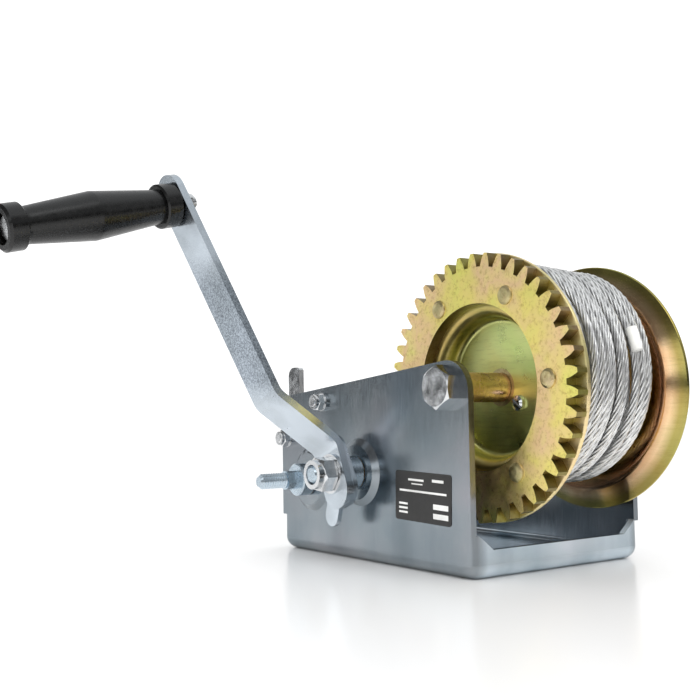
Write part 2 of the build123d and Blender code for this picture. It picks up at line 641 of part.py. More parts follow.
def input_shaft_spacers():
    outer = SHAFT_DIAMETER / 2 + 3.0
    inner = SHAFT_DIAMETER / 2
    near = tube(outer, inner, NEAR_BUSH_IN + SIDE_CLEARANCE, LOW_GEAR_OUT, INPUT_Y, INPUT_Z)
    middle = tube(outer, inner, LOW_GEAR_IN, GEAR_FRONT - 0.4, INPUT_Y, INPUT_Z)
    far = tube(outer, inner, GEAR_BACK - 1.0, FAR_BUSH_IN - SIDE_CLEARANCE, INPUT_Y, INPUT_Z)
    return Compound(children=[near, middle, far])


def low_shaft_spacers():
    outer = SHAFT_DIAMETER / 2 + 3.0
    inner = SHAFT_DIAMETER / 2
    near = tube(outer, inner, NEAR_BUSH_IN + SIDE_CLEARANCE, RATCHET_OUT, LOW_Y, LOW_Z)
    middle = tube(outer, inner, RATCHET_IN, LOW_GEAR_OUT - 0.5, LOW_Y, LOW_Z)
    far = tube(outer, inner, LOW_GEAR_IN + 0.5, FAR_BUSH_IN - SIDE_CLEARANCE, LOW_Y, LOW_Z)
    return Compound(children=[near, middle, far])


COLLAR_RADIUS = 10.5


def shaft_collar(y, z):
    """The sleeve between a boss and the crank's seat."""
    inner = SHAFT_DIAMETER / 2
    collar = tube(COLLAR_RADIUS, inner, SEAT_SHOULDER, NEAR_BOSS - SIDE_CLEARANCE, y, z)
    return chamfer(collar.edges().filter_by(GeomType.CIRCLE).sort_by(SortBy.RADIUS)[-2:], 0.8)


# ---------------------------------------------------------------- ratchet and pawl
def ratchet_outline():
    """A ratchet wheel: each tooth has a steep face that the pawl holds and a long back."""
    step = 360 / RATCHET_TEETH
    shape = ((RATCHET_ROOT_RADIUS, 0), (RATCHET_TIP_RADIUS, step * 0.5), (RATCHET_TIP_RADIUS, step * 0.63),
             (RATCHET_ROOT_RADIUS, step * 0.68))
    points = []
    for i in range(RATCHET_TEETH):
        for radius, turn in shape:
            at = math.radians(-(i * step + turn))
            points.append((radius * math.cos(at), radius * math.sin(at)))
    return make_face(Polyline(*points, close=True))


def ratchet_wheel():
    body = slab_x(ratchet_outline(), RATCHET_OUT, RATCHET_IN, LOW_Y, LOW_Z, RATCHET_TURN)
    return body - rod(SHAFT_DIAMETER / 2, RATCHET_OUT - 1, RATCHET_IN + 1, LOW_Y, LOW_Z)


PAWL_SLEEVE_RADIUS = 4.5
PAWL_OUT = NEAR_IN + 1.2
PAWL_IN = PAWL_OUT + PAWL_THICK
PAWL_HEAD_X = PAWL_IN + 0.5
SPRING_X = NEAR_IN + SPRING_X_FROM_PLATE
SPRING_PIN_RADIUS = 2.0
ANCHOR_SLEEVE_RADIUS = 5.0
GROOVE_DEPTH = 1.1
ANCHOR_HEAD_X = SPRING_X + 3.2


def lifted(y, z):
    """A point of the engaged pawl, about its pivot, moved to the rest pose."""
    turn = math.radians(-PAWL_REST_LIFT)
    return y * math.cos(turn) - z * math.sin(turn), y * math.sin(turn) + z * math.cos(turn)


def pawl_outline():
    """The pawl in its own (Y, Z) about its pivot, at rest: nose to -Y, thumb lever up."""
    low_y = LOW_Y - PAWL_PIVOT_Y
    tooth_z = LOW_Z - PAWL_PIVOT_Z + RATCHET_ROOT_RADIUS + 0.8
    nose = [(low_y - 2.0, tooth_z), (low_y + 0.3, tooth_z), (low_y + 6.0, tooth_z + 5.2)]
    back = [(low_y - 3.0, tooth_z + 4.7), (low_y - 3.0, tooth_z + 8.7), (low_y + 6.0, tooth_z + 12.7)]
    hub_radius = 9.0
    under = [(-4.0, -hub_radius + 0.9)]
    over = [(-4.0, hub_radius - 0.9)]
    outline = [lifted(*p) for p in reversed(nose)]
    outline += [lifted(*p) for p in back]
    arm = make_face(Polyline(*outline, *over, (1, 0), *under, close=True))
    height = PAWL_LEVER_TOP - PAWL_PIVOT_Z
    half = PAWL_LEVER_WIDTH / 2
    lever = Pos(0.9, height / 2) * Rectangle(PAWL_LEVER_WIDTH, height)
    top = lever.vertices().group_by(Axis.Y)[-1].sort_by(Axis.X)
    lever = fillet(top[0], half * 0.4)
    lever = fillet(lever.vertices().group_by(Axis.Y)[-1].sort_by(Axis.X)[-1], half * 0.9)
    return Circle(hub_radius) + arm + lever


def spring_pin_place():
    return PAWL_PIVOT_Y - 2.6, PAWL_PIVOT_Z + 21.0


def pawl():
    body = slab_x(pawl_outline(), PAWL_OUT, PAWL_IN, PAWL_PIVOT_Y, PAWL_PIVOT_Z)
    bore = PAWL_SLEEVE_RADIUS + RUN_CLEARANCE
    body -= rod(bore, PAWL_OUT - 1, PAWL_IN + 1, PAWL_PIVOT_Y, PAWL_PIVOT_Z)
    y, z = spring_pin_place()
    return body - rod(SPRING_PIN_RADIUS, PAWL_OUT - 1, PAWL_IN + 1, y, z)


def pawl_spring_pin():
    """A headed pin in the pawl that the spring's moving end loops round."""
    y, z = spring_pin_place()
    pin = rod(SPRING_PIN_RADIUS, PAWL_OUT, SPRING_X + 2.0, y, z)
    collar = rod(SPRING_PIN_RADIUS + 1.0, PAWL_IN, SPRING_X - 1.0, y, z)
    return pin + collar + rod(SPRING_PIN_RADIUS + 1.0, SPRING_X + 1.0, SPRING_X + 2.0, y, z)


def small_bolt(y, z, head_x, outer_end):
    """An M6 bolt put in from inside the near plate, its thread pointing out."""
    head = hexagon(SMALL_HEX, head_x, head_x + 4.0, y, z, "+", 10)
    shank = rod(SMALL_BOLT_DIAMETER / 2, NEAR, head_x, y, z)
    return head + shank + thread(SMALL_BOLT_DIAMETER / 2, 1.0, outer_end, NEAR, y, z)


def small_washer(y, z):
    return tube(6.0, SMALL_BOLT_DIAMETER / 2, NEAR - WASHER_THICK, NEAR, y, z)


def small_nut(y, z, turn):
    return lock_nut(SMALL_HEX, SMALL_BOLT_DIAMETER, 6.5, NEAR - WASHER_THICK, y, z, -1, turn)


def pawl_sleeve():
    return tube(PAWL_SLEEVE_RADIUS, SMALL_BOLT_DIAMETER / 2, NEAR_IN, PAWL_HEAD_X, PAWL_PIVOT_Y, PAWL_PIVOT_Z)


def anchor_sleeve():
    """A grooved sleeve on the anchor bolt, which the spring's fixed end loops round."""
    outer = ANCHOR_SLEEVE_RADIUS
    inner = SMALL_BOLT_DIAMETER / 2
    points = [(NEAR_IN, inner), (NEAR_IN, outer), (SPRING_X - 1.2, outer), (SPRING_X - 0.6, outer - GROOVE_DEPTH)]
    points += [(SPRING_X + 0.6, outer - GROOVE_DEPTH), (SPRING_X + 1.2, outer), (ANCHOR_HEAD_X, outer)]
    points += [(ANCHOR_HEAD_X, inner)]
    return turned(points, ANCHOR_Y, ANCHOR_Z)


def ring_about_x(radius, wire, y, z):
    circle = Pos(0, radius) * Circle(wire)
    return Pos(SPRING_X, y, z) * revolve(circle, Axis.X, 360)


def pawl_spring():
    """An extension spring from the anchor sleeve to the pawl's pin, with a ring at each end."""
    wire = SPRING_WIRE / 2
    y1, z1 = spring_pin_place()
    span = math.hypot(y1 - ANCHOR_Y, z1 - ANCHOR_Z)
    ring0 = ANCHOR_SLEEVE_RADIUS - GROOVE_DEPTH + wire + 0.1
    ring1 = SPRING_PIN_RADIUS + wire + 0.1
    coil_start = ring0 + 2.5
    coil_length = span - coil_start - ring1 - 2.5
    mean = SPRING_RADIUS - wire
    helix = Helix(coil_length / SPRING_TURNS, coil_length, mean)
    coil = sweep(Plane(origin=helix @ 0, z_dir=helix % 0) * Circle(wire), path=helix)
    lead = Pos(mean / 2, 0, 0) * Rot(0, 90, 0) * Cylinder(wire * 1.2, mean + wire)
    stem = Pos(0, 0, -1.3) * Cylinder(wire * 1.3, 3.2)
    far_stem = Pos(0, 0, coil_length + 1.3) * Cylinder(wire * 1.3, 3.2)
    shape = coil + lead + stem + Pos(0, 0, coil_length) * lead + far_stem
    ahead = Vector(0, y1 - ANCHOR_Y, z1 - ANCHOR_Z).normalized()
    origin = Vector(SPRING_X, ANCHOR_Y, ANCHOR_Z) + ahead * coil_start
    shape = Plane(origin=origin, x_dir=(1, 0, 0), z_dir=ahead) * shape
    return shape + ring_about_x(ring0, wire, ANCHOR_Y, ANCHOR_Z) + ring_about_x(ring1, wire, y1, z1)


# ---------------------------------------------------------------- crank
def crank_point(radial, x, across=0.0):
    """A point given along the crank from its shaft, at its X, and across the arm."""
    turn = math.radians(CRANK_ANGLE)
    return Vector(x, INPUT_Y + radial * math.sin(turn) + across * math.cos(turn),
                  INPUT_Z + radial * math.cos(turn) - across * math.sin(turn))


def crank_plane():
    """The crank's side view: its own x runs along the arm, its own y is the frame's X."""
    centre = crank_point(0, 0)
    return Plane(origin=centre, x_dir=crank_point(1, 0) - centre, z_dir=crank_point(0, 0, 1) - centre)


RISE_END = CRANK_RISE_START + CRANK_RISE_RADIAL
RISE_TOP_X = ARM_OUT - CRANK_RISE_X
LEAN = math.radians(CRANK_LEAN)
GRIP_BASE_X = RISE_TOP_X - (CRANK_RADIUS - RISE_END) * math.tan(LEAN)


def grip_plane(distance):
    """A plane across the grip's axis, at a distance out from the arm's outer face."""
    base = crank_point(CRANK_RADIUS, GRIP_BASE_X)
    ahead = crank_point(CRANK_RADIUS - math.sin(LEAN), GRIP_BASE_X - math.cos(LEAN)) - base
    across = crank_point(0, 0, 1) - crank_point(0, 0)
    return Plane(origin=base + ahead * distance, x_dir=across, z_dir=ahead)


def on_grip(radius, start, end):
    return grip_plane(start) * Cylinder(radius, end - start, align=(Align.CENTER, Align.CENTER, Align.MIN))


def hex_on_grip(across_flats, start, end, bore=0.0):
    nut = extrude(RegularPolygon(across_flats / 2, 6, major_radius=False), end - start)
    nut &= Cylinder(across_flats / math.sqrt(3) * 0.96, end - start, align=(Align.CENTER, Align.CENTER, Align.MIN))
    nut = grip_plane(start) * nut
    return nut - on_grip(bore, start - 1, end + 1) if bore else nut


def crank_arm():
    """A flat bar: foot on the shaft, a rise away from the plate, and a long leaning length."""
    end_r = CRANK_RADIUS + CRANK_END_REACH * math.cos(LEAN)
    end_x = GRIP_BASE_X - CRANK_END_REACH * math.sin(LEAN)
    outer = FilletPolyline((-CRANK_FOOT_REACH, ARM_OUT), (CRANK_RISE_START, ARM_OUT), (RISE_END, RISE_TOP_X),
                           (end_r, end_x), radius=(CRANK_BEND, CRANK_BEND + CRANK_THICK))
    side = make_face(offset(outer, amount=CRANK_THICK, side=Side.LEFT))
    bar = crank_plane() * extrude(side, CRANK_WIDTH / 2, both=True)
    half = CRANK_WIDTH / 2
    foot_box = Pos(0, -CRANK_FOOT_REACH, 0) * Box(CRANK_WIDTH + 2, CRANK_WIDTH, 40)
    foot_disc = Pos(0, half - CRANK_FOOT_REACH, 0) * Cylinder(half, 50)
    bar -= along_x(ARM_OUT, INPUT_Y, INPUT_Z) * Rot(0, 0, -CRANK_ANGLE) * (foot_box - foot_disc)
    tip_box = Pos(0, -CRANK_END_REACH, 0) * Box(CRANK_WIDTH + 2, CRANK_WIDTH, 40)
    tip_disc = Pos(0, half - CRANK_END_REACH, 0) * Cylinder(half, 50)
    tip = grip_plane(0) * (tip_box - tip_disc)
    bar -= tip
    bar -= on_grip(GRIP_BOLT_DIAMETER / 2, -CRANK_THICK - 2, 2)
    return bar - flatted(SEAT_DIAMETER, SEAT_FLATS, ARM_OUT - 1, LOCK_OUT + 1, INPUT_Y, INPUT_Z, -CRANK_ANGLE)


def crank_lock_plate():
    """The plate behind the arm's foot, with a tail that hangs below it."""
    bar = obround(CRANK_WIDTH - 1, -21.0, 25.0)
    tail = Rot(0, 0, LOCK_TAIL_TURN) * obround(13.0, -34.0, 4.0)
    body = slab_x(bar + tail, LOCK_OUT, SEAT_SHOULDER, INPUT_Y, INPUT_Z, -CRANK_ANGLE - 5)
    hole = flatted(SEAT_DIAMETER, SEAT_FLATS, LOCK_OUT - 1, SEAT_SHOULDER + 1, INPUT_Y, INPUT_Z, -CRANK_ANGLE)
    return body - hole


def crank_washer():
    return tube(12.0, INPUT_THREAD / 2 + 0.2, ARM_OUT - WASHER_THICK, ARM_OUT, INPUT_Y, INPUT_Z)


def crank_nut():
    out = ARM_OUT - WASHER_THICK
    return lock_nut(19.0, INPUT_THREAD, CRANK_NUT_HEIGHT, out, INPUT_Y, INPUT_Z, -1, 8)


GRIP_START = 0.4
RECESS_RADIUS = 9.5
RECESS_DEPTH = 9.0
GRIP_BOLT_SEAT = GRIP_START + GRIP_LENGTH - RECESS_DEPTH + SIDE_CLEARANCE
GRIP_HEAD_HEIGHT = 5.3


def grip():
    """The moulded grip: a collar at each end, and two long cones that meet at mid length."""
    end = GRIP_LENGTH
    collar = GRIP_COLLAR_LENGTH
    bore = GRIP_BOLT_DIAMETER / 2 + RUN_CLEARANCE
    neck = GRIP_NECK_RADIUS
    swell = Polyline((neck, collar + 2.5), (GRIP_BELLY_RADIUS - 0.1, end / 2 - 1.5),
                     (GRIP_BELLY_RADIUS, end / 2), (GRIP_BELLY_RADIUS - 0.1, end / 2 + 1.5),
                     (neck, end - collar - 2.5))
    rim = GRIP_COLLAR_RADIUS
    first = Polyline((bore, 0), (rim - 1.5, 0), (rim, 1.5), (rim, collar - 1), (rim - 1, collar), (neck, collar),
                     (neck, collar + 2.5))
    last = Polyline((neck, end - collar - 2.5), (neck, end - collar), (rim - 1, end - collar),
                    (rim, end - collar + 1), (rim, end - 1.5), (rim - 1.5, end), (RECESS_RADIUS, end),
                    (RECESS_RADIUS, end - RECESS_DEPTH), (bore, end - RECESS_DEPTH), (bore, 0))
    face = make_face(Wire([*first.edges(), *swell.edges(), *last.edges()]))
    return grip_plane(GRIP_START) * revolve(Plane.XZ * face, Axis.Z, 360)


def grip_bolt():
    shank = on_grip(GRIP_BOLT_DIAMETER / 2, -CRANK_THICK - GRIP_NUT_HEIGHT - 2, GRIP_BOLT_SEAT)
    head = hex_on_grip(GRIP_BOLT_HEX, GRIP_BOLT_SEAT, GRIP_BOLT_SEAT + GRIP_HEAD_HEIGHT)
    return shank + head


def grip_nut():
    start = -CRANK_THICK - GRIP_NUT_HEIGHT
    hex_part = hex_on_grip(GRIP_BOLT_HEX, start + 2.2, -CRANK_THICK, GRIP_BOLT_DIAMETER / 2)
    collar = on_grip(GRIP_BOLT_HEX * 0.44, start, start + 2.2) - on_grip(GRIP_BOLT_DIAMETER / 2, start - 1, 0)
    return hex_part + collar


# ---------------------------------------------------------------- files
def nodes():
    yield "frame", frame()
    yield "input_shaft_bushings", shaft_bushings(INPUT_Y, INPUT_Z)
    yield "low_shaft_bushings", shaft_bushings(LOW_Y, LOW_Z)
    yield "label_plate", label()
    yield "axle_bolt", axle_bolt()
    yield "axle_washer", axle_washer()
    yield "axle_nut", axle_nut()
    yield "axle_spacers", axle_spacers()
    yield "drum_barrel", drum_barrel()
    yield "drum_near_flange", near_flange()
    yield "drum_far_flange", far_flange()
    yield "drum_hub_tube", drum_hub_tube()
    yield "main_gear", main_gear()
    yield "drum_rivets", drum_rivets()
    yield "hub_screw", hub_screw()
    yield "hub_screw_nut", hub_screw_nut()
    yield "rope_clamp", rope_clamp()
    yield "rope_winding", rope_winding()
    yield "rope_end_sleeve", rope_end_sleeve()
    yield "input_shaft", input_shaft()
    yield "drive_pinion", drive_pinion()
    yield "reduction_gear", reduction_gear()
    yield "input_shaft_spacers", input_shaft_spacers()
    yield "input_shaft_circlip", circlip(INPUT_Y, INPUT_Z, 70)
    yield "crank_spacer", shaft_collar(INPUT_Y, INPUT_Z)
    yield "crank_arm", crank_arm()
    yield "crank_lock_plate", crank_lock_plate()
    yield "crank_washer", crank_washer()
    yield "crank_nut", crank_nut()
    yield "crank_grip", grip()
    yield "grip_bolt", grip_bolt()
    yield "grip_nut", grip_nut()
    yield "low_shaft", low_shaft()
    yield "low_pinion", low_pinion()
    yield "low_shaft_spacers", low_shaft_spacers()
    yield "low_shaft_circlip", circlip(LOW_Y, LOW_Z, -40)
    yield "low_shaft_collar", shaft_collar(LOW_Y, LOW_Z)
    yield "ratchet_wheel", ratchet_wheel()
    yield "pawl", pawl()
    yield "pawl_spring_pin", pawl_spring_pin()
    yield "pawl_spring", pawl_spring()
    yield "pawl_bolt", small_bolt(PAWL_PIVOT_Y, PAWL_PIVOT_Z, PAWL_HEAD_X, NEAR - SMALL_BOLT_REACH)
    yield "pawl_sleeve", pawl_sleeve()
    yield "anchor_bolt", small_bolt(ANCHOR_Y, ANCHOR_Z, ANCHOR_HEAD_X, NEAR - SMALL_BOLT_REACH)
    yield "anchor_sleeve", anchor_sleeve()
    washers = [small_washer(PAWL_PIVOT_Y, PAWL_PIVOT_Z), small_washer(ANCHOR_Y, ANCHOR_Z)]
    yield "small_washers", Compound(children=washers)
    nuts = [small_nut(PAWL_PIVOT_Y, PAWL_PIVOT_Z, 20), small_nut(ANCHOR_Y, ANCHOR_Z, 5)]
    yield "small_nuts", Compound(children=nuts)


os.makedirs("parts", exist_ok=True)
for node, shape in nodes():
    export_step(shape, f"parts/{node}.step")
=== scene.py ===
import math
import random

import bpy
from mathutils import Matrix, Vector


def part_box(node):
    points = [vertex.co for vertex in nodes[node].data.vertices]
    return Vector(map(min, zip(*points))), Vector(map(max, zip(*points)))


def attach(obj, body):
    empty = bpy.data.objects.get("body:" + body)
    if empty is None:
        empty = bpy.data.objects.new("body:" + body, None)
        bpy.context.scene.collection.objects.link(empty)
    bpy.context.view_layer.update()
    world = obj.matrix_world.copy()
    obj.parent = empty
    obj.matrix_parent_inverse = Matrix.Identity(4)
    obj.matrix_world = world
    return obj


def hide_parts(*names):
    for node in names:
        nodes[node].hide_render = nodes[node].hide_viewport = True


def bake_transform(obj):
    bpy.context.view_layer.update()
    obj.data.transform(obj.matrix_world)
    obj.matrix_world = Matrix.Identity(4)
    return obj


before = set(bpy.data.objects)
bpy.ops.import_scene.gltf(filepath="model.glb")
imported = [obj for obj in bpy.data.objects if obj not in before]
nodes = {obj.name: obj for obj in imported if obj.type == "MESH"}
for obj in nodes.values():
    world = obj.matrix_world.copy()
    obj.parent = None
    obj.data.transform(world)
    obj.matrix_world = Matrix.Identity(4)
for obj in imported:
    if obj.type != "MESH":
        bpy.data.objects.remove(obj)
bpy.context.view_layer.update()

# ---------------------------------------------------------------- sizes, in metres and degrees
AXLE_Y = -0.078
AXLE_Z = 0.1055
ROPE_DIAMETER = 0.005
ROPE_STRANDS = 6
STRAND_LAY = 0.034
TURN_POINTS = 16
ROPE_START_ANGLE = 212.0
LABEL_TILT = 1.5
PLATE_INNER_X = 0.058
PLATE_OUTER_X = 0.065
ROPE_FIRST_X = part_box("rope_winding")[0].x + 0.0030
ROPE_LAST_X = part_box("rope_winding")[1].x - 0.0026


# ---------------------------------------------------------------- materials
GREYS = [(0.0, (0, 0, 0)), (1.0, (1, 1, 1))]
# Painted shade: the share of the tray's tone left on the side plates' outer faces.
SIDE_PLATE_PAINTED_SHADE = 0.42


class Finish:
    """A principled material with small helpers for the nodes that feed it."""

    def __init__(self, name, base, metallic, roughness):
        self.material = bpy.data.materials.new(name)
        self.material.use_nodes = True
        self.tree = self.material.node_tree
        self.shader = self.tree.nodes["Principled BSDF"]
        self.shader.inputs["Base Color"].default_value = (*base, 1)
        self.shader.inputs["Metallic"].default_value = metallic
        self.shader.inputs["Roughness"].default_value = roughness
        self.place = self.tree.nodes.new("ShaderNodeTexCoord").outputs["Object"]

    def link(self, source, target):
        self.tree.links.new(source, target)

    def stretched(self, scale):
        mapping = self.tree.nodes.new("ShaderNodeMapping")
        mapping.inputs["Scale"].default_value = scale
        self.link(self.place, mapping.inputs["Vector"])
        return mapping.outputs["Vector"]

    def noise(self, scale, detail=4.0, stretch=(1, 1, 1), roughness=0.55):
        node = self.tree.nodes.new("ShaderNodeTexNoise")
        node.inputs["Scale"].default_value = scale
        node.inputs["Detail"].default_value = detail
        node.inputs["Roughness"].default_value = roughness
        self.link(self.stretched(stretch), node.inputs["Vector"])
        return node.outputs["Fac"]

    def ramp(self, fac, stops):
        node = self.tree.nodes.new("ShaderNodeValToRGB")
        while len(node.color_ramp.elements) < len(stops):
            node.color_ramp.elements.new(0.5)
        for element, (at, colour) in zip(node.color_ramp.elements, stops):
            element.position = at
            element.color = (*colour, 1)
        self.link(fac, node.inputs["Fac"])
        return node.outputs["Color"]

    def span(self, fac, low, high, start=0.3, end=0.7):
        node = self.tree.nodes.new("ShaderNodeMapRange")
        node.inputs["From Min"].default_value = start
        node.inputs["From Max"].default_value = end
        node.inputs["To Min"].default_value = low
        node.inputs["To Max"].default_value = high
        self.link(fac, node.inputs["Value"])
        return node.outputs["Result"]

    def blend(self, fac, first, second, mode="MIX"):
        node = self.tree.nodes.new("ShaderNodeMix")
        node.data_type = "RGBA"
        node.blend_type = mode
        if hasattr(fac, "default_value"):
            self.link(fac, node.inputs["Factor"])
        else:
            node.inputs["Factor"].default_value = fac
        self.link(first, node.inputs["A"])
        self.link(second, node.inputs["B"])
        return node.outputs["Result"]

    def multiply(self, first, second):
        return self.blend(1.0, first, second, "MULTIPLY")

    def absolute(self, value):
        size = self.tree.nodes.new("ShaderNodeMath")
        size.operation = "ABSOLUTE"
        self.link(value, size.inputs[0])
        return size.outputs["Value"]

    def bump(self, height, strength, distance):
        node = self.tree.nodes.new("ShaderNodeBump")
        node.inputs["Strength"].default_value = strength
        node.inputs["Distance"].default_value = distance
        previous = self.shader.inputs["Normal"].links
        if previous:
            self.link(previous[0].from_socket, node.inputs["Normal"])
        self.link(height, node.inputs["Height"])
        self.link(node.outputs["Normal"], self.shader.inputs["Normal"])

    def colour(self, source):
        self.link(source, self.shader.inputs["Base Color"])

    def rough(self, source):
        self.link(source, self.shader.inputs["Roughness"])

    def along(self, axis, low, high, start, end, both_ways=False):
        """A grey that runs from low to high as a coordinate, in metres, runs from start to end."""
        split = self.tree.nodes.new("ShaderNodeSeparateXYZ")
        self.link(self.place, split.inputs["Vector"])
        value = split.outputs[axis]
        if both_ways:
            value = self.absolute(value)
        return self.span(value, low, high, start, end)

    def paint_edge_shade(self, colour, edge_shade_depth):
        """The colour, darker where a surface doesn't face along X: painted shade on a wheel's cut edges."""
        split = self.tree.nodes.new("ShaderNodeSeparateXYZ")
        coordinates = self.tree.nodes.new("ShaderNodeTexCoord")
        self.link(coordinates.outputs["Normal"], split.inputs["Vector"])
        facing_x = self.absolute(split.outputs["X"])
        tone = self.ramp(self.span(facing_x, edge_shade_depth, 1.0, 0.2, 0.8), GREYS)
        return self.multiply(colour, tone)

    def radius_about_axle(self):
        """The distance of a point from the drum's axle, in metres."""
        split = self.tree.nodes.new("ShaderNodeSeparateXYZ")
        self.link(self.place, split.inputs["Vector"])
        offset = self.tree.nodes.new("ShaderNodeCombineXYZ")
        for axis, centre in (("Y", AXLE_Y), ("Z", AXLE_Z)):
            shift = self.tree.nodes.new("ShaderNodeMath")
            shift.operation = "SUBTRACT"
            shift.inputs[1].default_value = centre
            self.link(split.outputs[axis], shift.inputs[0])
            self.link(shift.outputs["Value"], offset.inputs[axis])
        length = self.tree.nodes.new("ShaderNodeVectorMath")
        length.operation = "LENGTH"
        self.link(offset.outputs["Vector"], length.inputs[0])
        return length.outputs["Value"]


def brushed_zinc(name, brush, rough_low, rough_high):
    """Blue-white zinc over rolled sheet, brushed along one axis, with faint bands and clouds, and painted
    shade that darkens the side plates toward their outer faces.
    """
    finish = Finish(name, (0.7, 0.75, 0.8), 1.0, rough_low)
    tints = [(0.34, (0.62, 0.72, 0.78)), (0.52, (0.75, 0.82, 0.87)), (0.70, (0.88, 0.89, 0.95))]
    cloud = finish.ramp(finish.noise(16, 3), tints)
    bands = finish.noise(34, 3, (1, 1, 0.10))
    band = finish.ramp(bands, [(0.36, (0.78, 0.80, 0.81)), (0.50, (0.92, 0.93, 0.94)), (0.62, (1, 1, 1))])
    grain = finish.noise(30, 6, brush, 0.7)
    streak = finish.ramp(grain, [(0.30, (0.88, 0.90, 0.92)), (0.65, (1.0, 1.0, 1.0))])
    whole = finish.multiply(finish.multiply(cloud, band), streak)
    # Painted shade: darker from the side plates' inner faces to their outer faces.
    side = finish.along("X", 1.0, SIDE_PLATE_PAINTED_SHADE, PLATE_INNER_X, PLATE_OUTER_X, both_ways=True)
    finish.colour(finish.multiply(whole, finish.ramp(side, GREYS)))
    finish.rough(finish.span(grain, rough_low, rough_high))
    finish.bump(grain, 0.10, 0.0003)
    finish.bump(finish.noise(22, 2), 0.05, 0.003)
    return finish.material


def speckled_zinc(name):
    """Zinc, smooth at its bend and its top, with fine grey speckle between that darkens the straight part."""
    finish = Finish(name, (0.72, 0.76, 0.81), 1.0, 0.2)
    cloud = finish.ramp(finish.noise(34, 3), [(0.35, (0.50, 0.55, 0.59)), (0.62, (0.63, 0.69, 0.75))])
    fine = finish.noise(900, 4, (1, 1, 1), 0.7)
    speck = finish.ramp(fine, [(0.40, (0.30, 0.31, 0.33)), (0.60, (0.74, 0.76, 0.78))])
    low_end = finish.along("Z", 0.0, 1.0, 0.096, 0.112)
    top_end = finish.along("Z", 1.0, 0.25, 0.172, 0.192)
    bar = finish.multiply(finish.ramp(low_end, GREYS), finish.ramp(top_end, GREYS))
    finish.colour(finish.blend(bar, cloud, finish.multiply(cloud, speck)))
    finish.rough(finish.span(finish.noise(90, 5), 0.16, 0.28))
    finish.bump(fine, 0.08, 0.0003)
    return finish.material


def bright_zinc(name, base, roughness=0.16):
    """Bright zinc on bolts, nuts and turned shafts, with small dents."""
    finish = Finish(name, base, 1.0, roughness)
    tone = finish.ramp(finish.noise(70, 4), [(0.35, tuple(c * 0.82 for c in base)), (0.65, base)])
    finish.colour(tone)
    finish.rough(finish.span(finish.noise(140, 4), roughness - 0.05, roughness + 0.10))
    finish.bump(finish.noise(240, 4), 0.14, 0.0006)
    return finish.material


def yellow_zinc(name, stops, rough_low=0.3, rough_high=0.5, pits=0.16, cloud_scale=22, edges=1.0):
    """Yellow passivated zinc, whose tint drifts between gold, green and pink."""
    finish = Finish(name, stops[1][1], 1.0, rough_low)
    cloud = finish.ramp(finish.noise(cloud_scale, 4), stops)
    speck = finish.ramp(finish.noise(420, 5, (1, 1, 1), 0.7), [(0.30, (0.72, 0.66, 0.55)), (0.5, (1, 1, 1))])
    # Painted shade on the faces that don't face along X, as deep as edges sets.
    finish.colour(finish.paint_edge_shade(finish.multiply(cloud, speck), edges))
    finish.rough(finish.span(finish.noise(110, 5), rough_low, rough_high))
    finish.bump(finish.noise(420, 5, (1, 1, 1), 0.7), pits, 0.0004)
    return finish.material


def ringed_zinc(name, rings, rough_low, rough_high):
    """Yellow zinc whose tint also changes with the distance from the axle, as the dip drains on the near
    flange; on the far flange these rings are painted shade with a painted highlight ring at its bend.
    """
    finish = Finish(name, rings[0][1], 1.0, rough_low)
    radius = finish.span(finish.radius_about_axle(), 0.0, 1.0, 0.0, 0.080)
    ring = finish.ramp(radius, rings)
    tints = [(0.30, (0.86, 0.98, 0.80)), (0.5, (1, 1, 1)), (0.70, (1, 0.86, 0.80))]
    cloud = finish.ramp(finish.noise(18, 4), tints)
    tinted = finish.multiply(ring, cloud)
    scratch = finish.ramp(finish.noise(60, 5, (1, 1, 9), 0.8), [(0.28, (0.80, 0.80, 0.76)), (0.5, (1, 1, 1))])
    finish.colour(finish.multiply(tinted, scratch))
    finish.rough(finish.span(finish.noise(80, 5), rough_low, rough_high))
    finish.bump(finish.noise(160, 4), 0.08, 0.0006)
    return finish.material


def moulded_plastic(name, base, roughness, grain):
    """Moulded plastic or printed vinyl, with a slight mottle and a fine moulded grain."""
    finish = Finish(name, base, 0.0, roughness)
    darker = tuple(c * 0.8 for c in base)
    lighter = tuple(c * 1.25 for c in base)
    tone = finish.ramp(finish.noise(60, 4), [(0.3, darker), (0.7, lighter)])
    finish.colour(tone)
    finish.rough(finish.span(finish.noise(300, 4), roughness - 0.05, roughness + 0.10))
    finish.bump(finish.noise(900, 3), grain, 0.0003)
    return finish.material


def wire_steel(name):
    """Galvanised wire of the rope, whose strands are themselves twisted from fine wires."""
    finish = Finish(name, (0.62, 0.62, 0.61), 1.0, 0.34)
    tone = finish.ramp(finish.noise(160, 5), [(0.30, (0.54, 0.54, 0.54)), (0.65, (0.92, 0.92, 0.91))])
    finish.colour(tone)
    finish.rough(finish.span(finish.noise(300, 4), 0.26, 0.46))
    finish.bump(finish.noise(1500, 3), 0.25, 0.0003)
    return finish.material


FRAME_ZINC = brushed_zinc("frame_zinc", (1, 30, 2.5), 0.17, 0.27)
CRANK_ZINC = speckled_zinc("crank_zinc")
BOLT_ZINC = bright_zinc("bolt_zinc", (0.80, 0.81, 0.82))
SHAFT_ZINC = bright_zinc("shaft_zinc", (0.62, 0.72, 0.80), 0.24)
SPRING_STEEL = bright_zinc("spring_steel", (0.66, 0.66, 0.68), 0.3)
